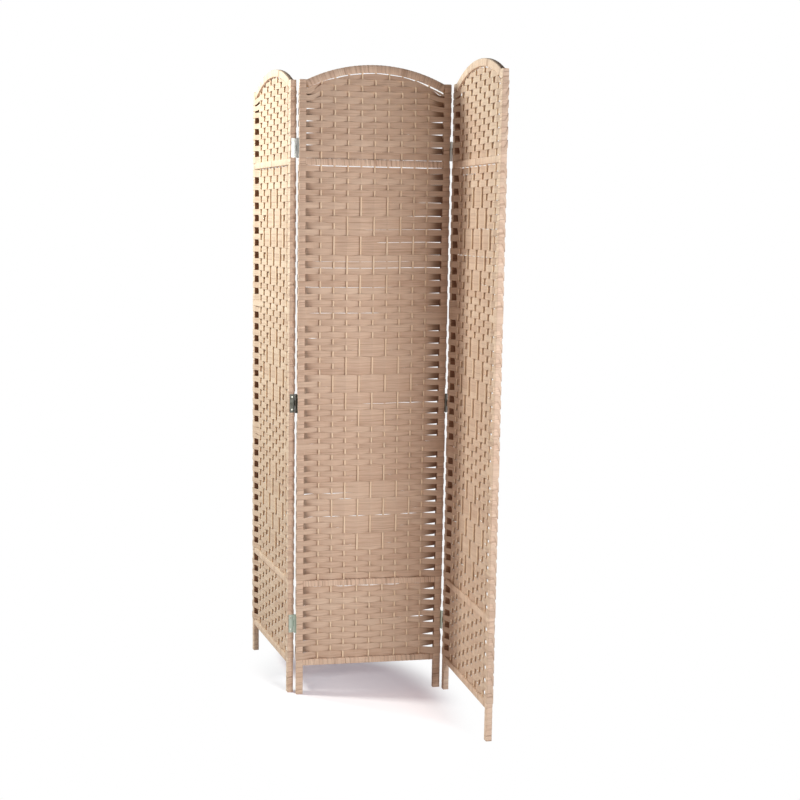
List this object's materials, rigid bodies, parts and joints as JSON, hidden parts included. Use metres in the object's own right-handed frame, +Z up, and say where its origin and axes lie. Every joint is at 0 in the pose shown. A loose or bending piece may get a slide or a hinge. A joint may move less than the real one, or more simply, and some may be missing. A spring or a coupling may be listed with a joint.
{
  "type": "folding screen",
  "caption": "Free-standing folding room divider: arched wooden frames wrapped in paper ribbon, woven ribbon panels with a diamond motif, joined by steel butt hinges.",
  "frame": {"origin": "middle of the floor area that the standing screen covers, on the floor", "axes": "+Z up; +X along the centre panel towards the right panel; the front of the centre panel faces -Y"},
  "size_m": [0.5348, 0.828, 1.6998],
  "materials": {
    "frame_wood": "plain sawn, unfinished",
    "rod_wood": "peeled, unfinished",
    "wrap_ribbon": "matt, fine fibres",
    "woven_ribbon": "matt, fine fibres",
    "hinge_steel": "zinc plated",
    "screw_steel": "zinc plated"
  },
  "bodies": {
    "left_panel": {"left_panel_left_stile": "frame_wood", "left_panel_right_stile": "frame_wood", "left_panel_bottom_rail": "frame_wood", "left_panel_lower_rail": "frame_wood", "left_panel_upper_rail": "frame_wood", "left_panel_arch_rail": "frame_wood", "left_panel_stile_wraps": "wrap_ribbon", "left_panel_rail_wraps": "wrap_ribbon", "left_panel_warp_rods": "rod_wood", "left_panel_weave_top": "woven_ribbon", "left_panel_weave_middle": "woven_ribbon", "left_panel_weave_bottom": "woven_ribbon", "left_panel_hinge_screws": "screw_steel", "left_hinge_low_swing_leaf": "hinge_steel", "left_hinge_middle_swing_leaf": "hinge_steel", "left_hinge_high_swing_leaf": "hinge_steel"},
    "centre_panel": {"centre_panel_left_stile": "frame_wood", "centre_panel_right_stile": "frame_wood", "centre_panel_bottom_rail": "frame_wood", "centre_panel_lower_rail": "frame_wood", "centre_panel_upper_rail": "frame_wood", "centre_panel_arch_rail": "frame_wood", "centre_panel_stile_wraps": "wrap_ribbon", "centre_panel_rail_wraps": "wrap_ribbon", "centre_panel_warp_rods": "rod_wood", "centre_panel_weave_top": "woven_ribbon", "centre_panel_weave_middle": "woven_ribbon", "centre_panel_weave_bottom": "woven_ribbon", "centre_panel_hinge_screws": "screw_steel", "left_hinge_low_fixed_leaf": "hinge_steel", "left_hinge_low_pin": "hinge_steel", "left_hinge_middle_fixed_leaf": "hinge_steel", "left_hinge_middle_pin": "hinge_steel", "left_hinge_high_fixed_leaf": "hinge_steel", "left_hinge_high_pin": "hinge_steel", "right_hinge_low_fixed_leaf": "hinge_steel", "right_hinge_low_pin": "hinge_steel", "right_hinge_middle_fixed_leaf": "hinge_steel", "right_hinge_middle_pin": "hinge_steel", "right_hinge_high_fixed_leaf": "hinge_steel", "right_hinge_high_pin": "hinge_steel"},
    "right_panel": {"right_panel_left_stile": "frame_wood", "right_panel_right_stile": "frame_wood", "right_panel_bottom_rail": "frame_wood", "right_panel_lower_rail": "frame_wood", "right_panel_upper_rail": "frame_wood", "right_panel_arch_rail": "frame_wood", "right_panel_stile_wraps": "wrap_ribbon", "right_panel_rail_wraps": "wrap_ribbon", "right_panel_warp_rods": "rod_wood", "right_panel_weave_top": "woven_ribbon", "right_panel_weave_middle": "woven_ribbon", "right_panel_weave_bottom": "woven_ribbon", "right_panel_hinge_screws": "screw_steel", "right_hinge_low_swing_leaf": "hinge_steel", "right_hinge_middle_swing_leaf": "hinge_steel", "right_hinge_high_swing_leaf": "hinge_steel"}
  },
  "joints": [
    {"name": "left_fold", "type": "hinge", "parent": "centre_panel", "child": "left_panel", "pos_m": [-0.18451, 0.01274, 0], "axis": [0, 0, 1], "range_deg": [-99, 81]},
    {"name": "right_fold", "type": "hinge", "parent": "centre_panel", "child": "right_panel", "pos_m": [0.22449, -0.00826, 0], "axis": [0, 0, 1], "range_deg": [-93.3, 86.7]}
  ]
}
